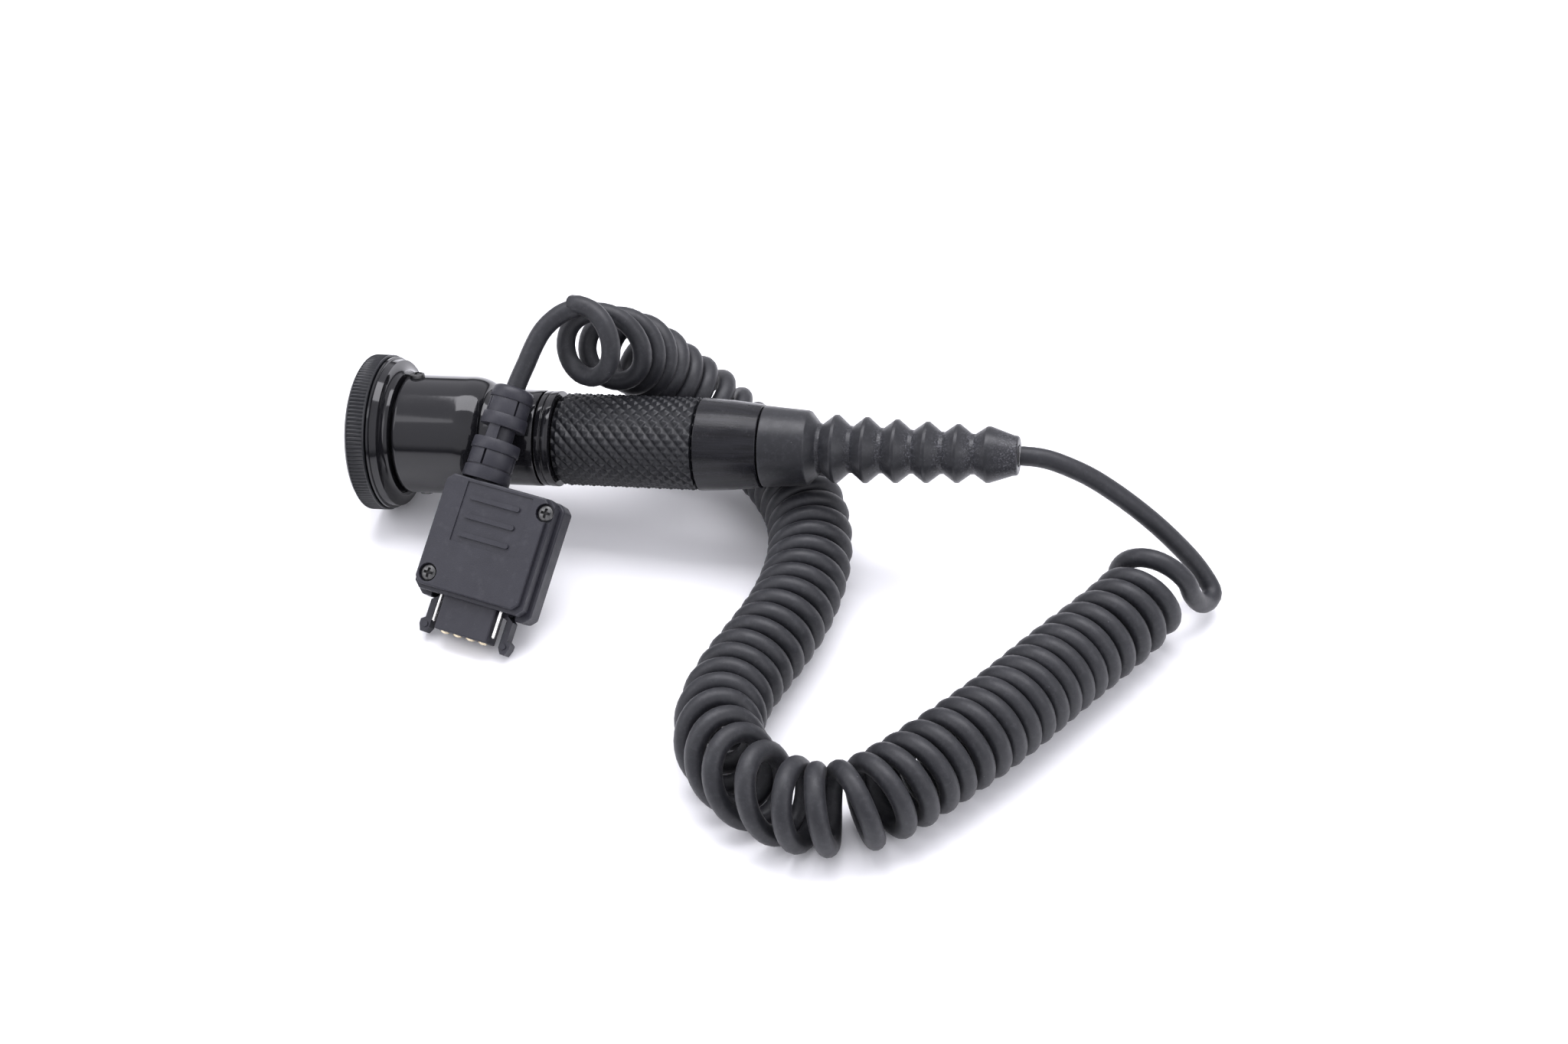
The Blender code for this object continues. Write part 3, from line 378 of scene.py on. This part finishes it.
def plug_plastic():
    look = Look("matt_plug_plastic")
    grain = look.noise(3600, 5, 0.6)
    speck = look.ramp(look.noise(2100, 3), ((0.755, 0.0), (0.785, 1.0)))
    rub = look.ramp(look.noise(420, 6, 0.65), ((0.55, 0.0), (0.75, 0.35)))
    body = look.ramp(look.noise(240, 4), ((0.25, (0.015, 0.015, 0.021)), (0.8, (0.021, 0.021, 0.028))))
    marks = look.math("MAXIMUM", speck, look.math("MULTIPLY", rub, 0.3))
    look.set(Base_Color=look.mix(marks, body, (0.12, 0.12, 0.13)),
             Roughness=look.ramp(look.noise(300, 3), ((0.3, 0.40), (0.7, 0.52))), Specular_IOR_Level=0.40)
    look.bump(grain, 0.35, 0.00008)
    return look.material


def metal(name, colour, roughness):
    look = Look(name)
    grime = look.ramp(look.noise(900, 6, 0.65), ((0.48, 0.0), (0.68, 1.0)))
    dull = tuple(0.45 * c for c in colour)
    look.set(Base_Color=look.mix(look.math("MULTIPLY", grime, 0.6), colour, dull),
             Roughness=look.ramp(look.noise(1200, 4), ((0.3, roughness - 0.06), (0.7, roughness + 0.12))),
             Metallic=1.0)
    look.bump(look.noise(2500, 3), 0.12, 0.00005)
    return look.material


def screw_steel():
    look = Look("dull_screw_steel")
    grime = look.ramp(look.noise(1500, 6, 0.65), ((0.44, 1.0), (0.68, 0.25)))
    look.set(Base_Color=look.mix(grime, (0.035, 0.035, 0.036), (0.13, 0.13, 0.128)),
             Roughness=look.ramp(look.noise(1200, 4), ((0.3, 0.34), (0.7, 0.50))), Metallic=1.0)
    look.bump(look.noise(2500, 3), 0.12, 0.00005)
    return look.material


# ================================================================ cord
def catmull_rom(points, steps):
    """A smooth line through the points, with this many steps between neighbours."""
    knots = [Vector(p) for p in points]
    knots = [2 * knots[0] - knots[1]] + knots + [2 * knots[-1] - knots[-2]]
    line = []
    for a, b, c, d in zip(knots, knots[1:], knots[2:], knots[3:]):
        for i in range(steps):
            t = i / steps
            line.append(0.5 * (
                2 * b + (c - a) * t + (2 * a - 5 * b + 4 * c - d) * t * t
                + (3 * b - a - 3 * c + d) * t * t * t
            ))
    line.append(knots[-2])
    return line


def interpolate(stops, x):
    for (x0, y0), (x1, y1) in zip(stops, stops[1:]):
        if x <= x1:
            return y0 + (y1 - y0) * (x - x0) / (x1 - x0)
    return stops[-1][1]


def coil_line():
    """The coil's turns: a right-handed helix around the smooth line through COIL_ROUTE."""
    middle = catmull_rom(COIL_ROUTE + [COIL_END], 30)
    lengths = [0.0]
    for a, b in zip(middle, middle[1:]):
        lengths.append(lengths[-1] + (b - a).length)

    directions = [(b - a).normalized() for a, b in zip(middle, middle[1:])]
    directions.append(directions[-1])
    up = Vector((0, 0, 1))
    ups = []
    for along in directions:
        up = (up - along * up.dot(along)).normalized()
        ups.append(up)

    phases = [-math.pi / 2]
    for i in range(1, len(middle)):
        pitch = interpolate(TURN_PITCH, lengths[i])
        phases.append(phases[-1] + math.tau * (lengths[i] - lengths[i - 1]) / pitch)
    last_up = Vector(LAST_RING_UP)
    last_up = (last_up - directions[-1] * last_up.dot(directions[-1])).normalized()
    side = directions[-1].cross(ups[-1])
    end_phase = math.atan2(last_up.dot(side), last_up.dot(ups[-1]))
    turns = round((phases[-1] - end_phase) / math.tau)
    stretch = (end_phase + math.tau * turns - phases[0]) / (phases[-1] - phases[0])
    phases = [phases[0] + (p - phases[0]) * stretch for p in phases]

    points = []
    count = round((phases[-1] - phases[0]) / math.tau * POINTS_PER_TURN)
    index = 0
    for k in range(count + 1):
        phase = phases[0] + (phases[-1] - phases[0]) * k / count
        while index < len(phases) - 2 and phases[index + 1] < phase:
            index += 1
        t = (phase - phases[index]) / (phases[index + 1] - phases[index])
        centre = middle[index].lerp(middle[index + 1], t)
        along = directions[index].lerp(directions[index + 1], t).normalized()
        up = ups[index].lerp(ups[index + 1], t)
        up = (up - along * up.dot(along)).normalized()
        side = along.cross(up)
        distance = lengths[index]
        lean = interpolate(TURN_LEAN, distance)
        sway = interpolate(TURN_SWAY, distance)
        radius = interpolate(TURN_R, distance)
        ring = math.cos(phase) * (up + lean * along) + math.sin(phase) * (side + sway * along)
        points.append(centre + radius * ring)
    return points, turns


def make_cord(looks):
    coil, turns = coil_line()
    route = [Vector(p) for p in HANDLE_STRETCH] + coil + [Vector(p) for p in (*PLUG_STRETCH, IN_RELIEF)]
    line = catmull_rom(route, 3)
    length = sum((b - a).length for a, b in zip(line, line[1:]))
    print(f"cord: {turns} turns, centreline {length:.0f} mm")
    data = bpy.data.curves.new("curly_cord", "CURVE")
    data.dimensions = "3D"
    data.bevel_depth = CORD_DIAMETER / 2 * MM
    data.bevel_resolution = 5
    data.use_fill_caps = True
    spline = data.splines.new("POLY")
    spline.points.add(len(line) - 1)
    for knot, point in zip(spline.points, line):
        knot.co = (*(point * MM), 1.0)
    spline.use_smooth = True
    cord = bpy.data.objects.new("curly_cord", data)
    bpy.context.scene.collection.objects.link(cord)
    data.materials.append(looks["cord"])
    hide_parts("cord_handle_stretch", "curly_cord_coil", "cord_plug_stretch")
    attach(cord, "handle")
    return cord, line


# ================================================================ turned and cut pieces
def add_piece(name, bm, matrix, material, body, nodes):
    """Turn a bmesh in millimetres into a piece that stands in for CAD nodes and moves with a body."""
    bmesh.ops.recalc_face_normals(bm, faces=bm.faces)
    bmesh.ops.scale(bm, verts=bm.verts, vec=(MM, MM, MM))
    mesh = bpy.data.meshes.new(name)
    bm.to_mesh(mesh)
    bm.free()
    mesh.shade_smooth()
    mesh.set_sharp_from_angle(angle=math.radians(38))
    mesh.materials.append(material)
    piece = bpy.data.objects.new(name, mesh)
    bpy.context.scene.collection.objects.link(piece)
    piece.matrix_world = matrix
    bpy.context.view_layer.update()
    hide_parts(*nodes)
    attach(piece, body)
    return piece


def soften(outline, radius, steps=3):
    """Round every corner of a closed outline by up to this radius."""
    points = []
    count = len(outline)
    for i, corner in enumerate(outline):
        here = Vector(corner)
        before = Vector(outline[i - 1])
        after = Vector(outline[(i + 1) % count])
        reach = min(radius, 0.45 * (here - before).length, 0.45 * (after - here).length)
        start = here + (before - here).normalized() * reach
        end = here + (after - here).normalized() * reach
        for k in range(steps + 1):
            t = k / steps
            points.append(tuple(start * (1 - t) ** 2 + here * (2 * t * (1 - t)) + end * t ** 2))
    return points


def divide(start, end, step):
    """Points from one (along, radius) to another, at most a step apart."""
    start = Vector(start)
    end = Vector(end)
    count = max(1, math.ceil((end - start).length / step))
    return [tuple(start.lerp(end, i / count)) for i in range(count + 1)]


def lathe(outline, angles, relief=None):
    """Revolve a closed outline about X; relief(along, angle, radius) gives the final radius."""
    bm = bmesh.new()
    if isinstance(angles, int):
        angles = [math.tau * i / angles for i in range(angles)]
    rings = []
    for along, radius in outline:
        if radius < 0.001:
            rings.append([bm.verts.new((along, 0, 0))])
            continue
        ring = []
        for angle in angles:
            r = relief(along, angle, radius) if relief else radius
            ring.append(bm.verts.new((along, r * math.sin(angle), r * math.cos(angle))))
        rings.append(ring)
    for here, after in zip(rings, rings[1:] + rings[:1]):
        for i in range(len(angles)):
            j = (i + 1) % len(angles)
            corners = [
                here[i % len(here)], here[j % len(here)], after[j % len(after)], after[i % len(after)],
            ]
            unique = list(dict.fromkeys(corners))
            if len(unique) > 2:
                bm.faces.new(unique)
    return bm


def triangle_wave(x):
    """0 at whole numbers and 1 halfway between them."""
    return 1.0 - abs(2.0 * (x % 1.0) - 1.0)


def serrated(along, angle, radius):
    """Fine straight teeth over the collar's rim."""
    if radius < COLLAR_R - 0.05 or not TEETH_START < along < TEETH_END:
        return radius
    return radius - TOOTH_DEPTH * triangle_wave(angle / math.tau * COLLAR_TEETH)


def knurled(along, angle, radius):
    """Crossed helical grooves that leave small pyramids; one hand of groove is deeper."""
    if radius < GRIP_R - 1.0:
        return radius
    turn = angle / math.tau * KNURL_COUNT
    step = (along - GRIP_START) / KNURL_PITCH
    deep = max(0.0, 1.0 - triangle_wave(turn + step) / 0.85)
    shallow = max(0.0, 1.0 - triangle_wave(turn - step) / 0.85)
    return radius - max(KNURL_DEPTH * deep, 0.72 * KNURL_DEPTH * shallow)


def arc(centre, radii, start, end, steps):
    """Points of an elliptical arc in (along, radius), angles in degrees."""
    points = []
    for i in range(steps + 1):
        angle = math.radians(start + (end - start) * i / steps)
        points.append((centre[0] + radii[0] * math.cos(angle), centre[1] + radii[1] * math.sin(angle)))
    return points


def make_collar(looks):
    outline = [
        (1.5, 10.0), (0.12, 10.0), (0.0, 10.15), (0.0, 11.2), (0.12, 11.3), (0.12, 11.6), (0.0, 11.7),
        (0.0, 15.5), (0.06, 15.72), (COLLAR_CHAMFER, COLLAR_R - 0.04), (TEETH_START, COLLAR_R),
        (TEETH_START + 0.12, COLLAR_R),
        (TEETH_END - 0.12, COLLAR_R), (TEETH_END, COLLAR_R), (COLLAR_END - 0.2, COLLAR_R),
        (COLLAR_END, COLLAR_R - 0.2), (COLLAR_END, 8.3), (1.5, 8.3),
    ]
    add_piece("serrated_collar", lathe(outline, 4 * COLLAR_TEETH, serrated), HANDLE, looks["collar"],
              "collar", ["lock_collar"])
    button = [
        (1.0, 0.0), (0.98, 2.0), (0.82, 4.0), (0.55, 6.0),
        (0.62, 6.5), (0.9, 6.9), (6.2, 6.9), (6.2, 5.9), (2.6, 5.9), (2.6, 3.0), (5.0, 3.0), (5.0, 1.9),
        (3.2, 1.9), (3.2, 0.0),
    ]
    add_piece("button_cap", lathe(button, 128), HANDLE, looks["satin"], "button",
              ["release_button"])


def make_barrel(looks):
    rim = FLANGE_END - 1.45
    flange = [
        (1.0, 7.2), (1.0, 8.0), (4.9, 8.0), (4.9, 16.05), (5.0, 16.2), (5.4, 16.2), (5.5, 16.05),
        (5.55, 15.75), (5.75, 15.7), *arc((rim + 1.35, 15.55), (1.35, 2.35), 180, 270, 14),
        (FLANGE_END, 13.15), (FLANGE_END, 10.3), (12.6, 10.3), (12.6, 7.2),
    ]
    add_piece("flared_flange", lathe(flange, 256), HANDLE, looks["gloss"], "handle",
              ["end_flange"])
    shoulder = arc((22.6, 10.25), (5.0, 2.35), 90, 0, 18)
    barrel = [
        (9.2, 10.6), (9.2, 12.3), (9.27, 12.5), (9.45, 12.6), *divide((10.0, 12.6), (22.0, 12.6), 2.0),
        *shoulder, (27.66, 10.2), (28.0, 10.15), *divide((28.5, 10.15), (38.8, 10.15), 2.0),
        (39.0, 10.0), (39.0, 7.0), (24.0, 7.0), (24.0, 10.6),
    ]
    add_piece("barrel_shell", lathe(barrel, 256), HANDLE, looks["gloss"], "handle",
              ["barrel_housing"])


def make_grip(looks):
    ring = soften([
        (39.3, 7.0), (39.3, 9.8), (39.5, 10.0), (40.5, 10.0), (40.6, 9.75), (40.9, 9.75), (41.0, 10.1),
        (42.4, 10.1), (42.5, 9.9), (42.5, 7.0),
    ], 0.12)
    add_piece("grooved_neck_ring", lathe(ring, 192), HANDLE, looks["gloss"], "handle",
              ["neck_ring"])
    step = KNURL_PITCH / 12
    grip = [
        (GRIP_START, 7.0), (GRIP_START, GRIP_R - 1.1),
        *divide((GRIP_START + 0.1, GRIP_R - 0.75), (GRIP_START + 1.3, GRIP_R - 0.05), step),
        *divide((GRIP_START + 1.5, GRIP_R), (GRIP_END - 0.35, GRIP_R), step),
        (GRIP_END - 0.15, GRIP_R - 0.55), (GRIP_END, GRIP_R - 1.1), (GRIP_END, 7.0),
    ]
    add_piece("diamond_knurled_grip", lathe(grip, 12 * KNURL_COUNT, knurled), HANDLE, looks["knurl"],
              "handle", ["knurled_grip"])
    tail = soften([
        (73.3, 7.0), (73.3, 9.75), (79.5, 9.35), (86.3, 8.65), (86.3, 5.3), (84.1, 5.3), (84.1, 7.0),
    ], 0.25)
    add_piece("tapered_tail", lathe(tail, 192), HANDLE, looks["tail"], "handle",
              ["tail_cone"])


def make_boot(looks):
    outline = [(86.6, 6.7), (86.6, 8.4), (87.0, 8.42), (95.6, 7.78), (96.1, 7.6), (98.0, 5.35), (98.7, 5.05)]
    for i in range(6):
        share = i / 5
        along = 101.6 + 6.3 * i
        ridge = 7.1 - 1.3 * share
        valley = 4.9 - 0.9 * (share + 0.1)
        outline += [(along - 0.3, ridge), (along + 0.3, ridge)]
        if i < 5:
            outline += [(along + 2.75, valley + 0.12), (along + 3.55, valley + 0.05)]
    outline += [
        (138.2, 4.15), (139.0, 4.05), (139.3, 3.7), (139.3, 2.3), (97.0, 2.3), (93.0, 6.7),
    ]
    add_piece("ribbed_boot", lathe(soften(outline, 0.14, 3), 160), HANDLE, looks["boot"], "handle",
              ["cable_boot"])


def relief_angles():
    """Angles round the strain relief, with a close pair at every edge of a slit or a notch."""
    edges = [0.0]
    for centre in (0, 90, 180, 270):
        edges += [centre - SLIT_HALF, centre + SLIT_HALF, centre + 45 - SLIT_HALF, centre + 45 + SLIT_HALF]
    for centre in (0, 180):
        edges += [centre - BRIDGE_HALF, centre + BRIDGE_HALF]
    angles = {round(a % 360, 2) for edge in edges for a in (edge - 0.35, edge + 0.35)}
    angles |= {a for a in range(0, 360, 5)}
    return [math.radians(a) for a in sorted(angles)]


def off_centre(angle, spacing, phase):
    """Degrees from the nearest of the directions phase, phase + spacing and so on."""
    turn = (math.degrees(angle) - phase) / spacing
    return abs(turn - round(turn)) * spacing


def slotted(along, angle, radius):
    """Slits in two rows of the strain relief, and two open windows between its rings."""
    if radius < 4.0:
        return radius
    if 2.95 < along - RELIEF_START < 6.15 and off_centre(angle, 90, 0) < SLIT_HALF:
        return 3.9
    if 14.25 < along - RELIEF_START < 17.35 and off_centre(angle, 90, 45) < SLIT_HALF:
        return 3.6
    if 8.75 < along - RELIEF_START < 11.45 and off_centre(angle, 180, 0) > BRIDGE_HALF:
        return 2.9
    return radius


def make_strain_relief(looks):
    stations = [
        (0.0, 4.9), (0.15, 5.0), (2.45, 4.95), (2.6, 4.8), (2.62, 4.55), (2.88, 4.55), (2.9, 4.72),
        (3.0, 4.78), (6.1, 4.72), (6.2, 4.68), (6.22, 4.95), (6.35, 5.02), (8.45, 4.9), (8.6, 4.8),
        (8.65, 4.35),
        (8.8, 4.33), (11.4, 4.25), (11.5, 4.25), (11.55, 4.65), (11.7, 4.75), (14.0, 4.65), (14.15, 4.55),
        (14.17, 4.32), (14.3, 4.34), (17.3, 4.24), (17.4, 4.2), (17.42, 4.38), (17.6, 4.48), (18.8, 4.42),
        (19.5, 4.25), (19.95, 3.9), (20.15, 3.45), (20.2, 2.9), (20.2, 2.45), (19.9, 2.3),
    ]
    outline = [(9.4, 2.3), (9.4, 2.6), (RELIEF_START, 2.6)]
    outline += [(RELIEF_START + along, radius) for along, radius in stations]
    at = Matrix.Translation(Vector((RELIEF_X, 0, RELIEF_Z)) * MM)
    place = PLUG @ at @ Matrix.Rotation(math.radians(90), 4, "Z")
    add_piece("slotted_strain_relief", lathe(outline, relief_angles(), slotted), place, looks["plastic"],
              "handle", ["plug_strain_relief"])


def in_cross(y, z, reach):
    """Whether a point is inside a cross recess with arms this long."""
    across, along = sorted((abs(y), abs(z)))
    return across < 0.27 * reach and along < reach


def make_screw(name, place, sizes, looks, node):
    """A pan-head cross screw that points along the place's Z."""
    seat, height, head_r, tip = sizes
    top = seat + height
    radii = [r for _, r in divide((0, 0.97 * head_r), (0, 0), 0.06)]
    dome = [(top - 0.35 * height * (r / head_r) ** 2, r) for r in radii]
    outline = [
        (tip, 0.0), (tip, SHANK_R), (seat, SHANK_R), (seat, head_r), (seat + 0.5 * height, head_r), *dome,
    ]
    bm = lathe(outline, 120)
    reach = 0.62 * head_r
    for vert in bm.verts:
        if vert.co.x > seat + 0.3 * height and in_cross(vert.co.y, vert.co.z, reach):
            vert.co.x -= 0.55 * height
    piece = add_piece(name, bm, place @ Matrix.Rotation(math.radians(-90), 4, "Y"), looks["screw"],
                      "handle", [node])
    # The faces of the cross recess take a near-black second material: painted shade in the hollow.
    piece.data.materials.append(looks["recess"])
    for face in piece.data.polygons:
        centre = face.center / MM
        if centre.x > seat and in_cross(centre.y, centre.z, 1.06 * reach):
            face.material_index = 1
    return piece


def make_screws(looks):
    """The barrel's two screws and the plug's two; returns the plug's."""
    for side, turn in (("top", 0), ("bottom", 180)):
        place = HANDLE @ Matrix.Translation((BARREL_SCREW_S * MM, 0, 0))
        place = place @ Matrix.Rotation(math.radians(BARREL_SCREW_TURN + turn), 4, "X")
        make_screw(f"cross_screw_{side}", place, BARREL_SCREW_SIZES, looks, f"barrel_screw_{side}")
    pieces = []
    for side, (x, y) in PLUG_SCREWS.items():
        place = PLUG @ Matrix.Translation((x * MM, y * MM, 0))
        screw = make_screw(f"cross_screw_{side}", place, PLUG_SCREW_SIZES, looks, f"plug_screw_{side}")
        pieces.append(screw)
    return pieces


# ================================================================ CAD nodes that stay
def make_looks():
    gloss = gloss_black()
    satin = satin_black("satin_black_paint", 0.40, (0.006, 0.0065, 0.008), (0.010, 0.0105, 0.013))
    boot = rubber("boot_rubber", (0.005, 0.0055, 0.0075), (0.009, 0.0095, 0.0125), 0.38, 0.0052)
    plastic = plug_plastic()
    return {
        "gloss": gloss,
        "satin": satin,
        "collar": satin_black("collar_black", 0.33, (0.005, 0.0055, 0.007), (0.009, 0.0095, 0.012)),
        "knurl": satin_black("knurl_black", 0.42, (0.006, 0.0065, 0.008), (0.010, 0.0105, 0.013)),
        "tail": satin_black("streaked_black", 0.24, (0.003, 0.003, 0.004), (0.010, 0.010, 0.013), 1.0, 0.25),
        "boot": boot,
        "cord": rubber("cord_rubber", (0.008, 0.0085, 0.011), (0.013, 0.0135, 0.017), 0.48),
        "plastic": plastic,
        "black_gloss": gloss,
        "black_satin": satin,
        "rubber": boot,
        "plug_plastic": plastic,
        "steel": metal("dull_steel", (0.36, 0.36, 0.34), 0.34),
        "screw": screw_steel(),
        # Near-black colour for the screws' cross recesses: painted shade.
        "recess": rubber("painted_shade_recess", (0.003, 0.003, 0.003), (0.006, 0.006, 0.006), 0.7),
        "blackened_brass": metal("blackened_brass", (0.035, 0.030, 0.025), 0.45),
        "nickel": metal("bright_nickel", (0.78, 0.77, 0.74), 0.20),
        "gold": metal("pale_gold", (0.90, 0.78, 0.56), 0.26),
        "brass": metal("plain_brass", (0.66, 0.47, 0.22), 0.35),
        "nylon": rubber("nylon", (0.50, 0.47, 0.40), (0.60, 0.56, 0.48), 0.5),
    }


def finish_cad_nodes(looks):
    for part in frame["record"]["subparts"]:
        node = frame["nodes"][part["node"]]
        own = "blackened_brass" if part["node"] == "core_tube" else part["material_slot"]
        for slot in node.material_slots:
            slot.material = looks[own]


def main():
    make_camera()
    make_studio()
    looks = make_looks()
    finish_cad_nodes(looks)
    make_collar(looks)
    make_barrel(looks)
    make_grip(looks)
    make_boot(looks)
    make_strain_relief(looks)
    plug_screws = make_screws(looks)
    cord, line = make_cord(looks)


main()
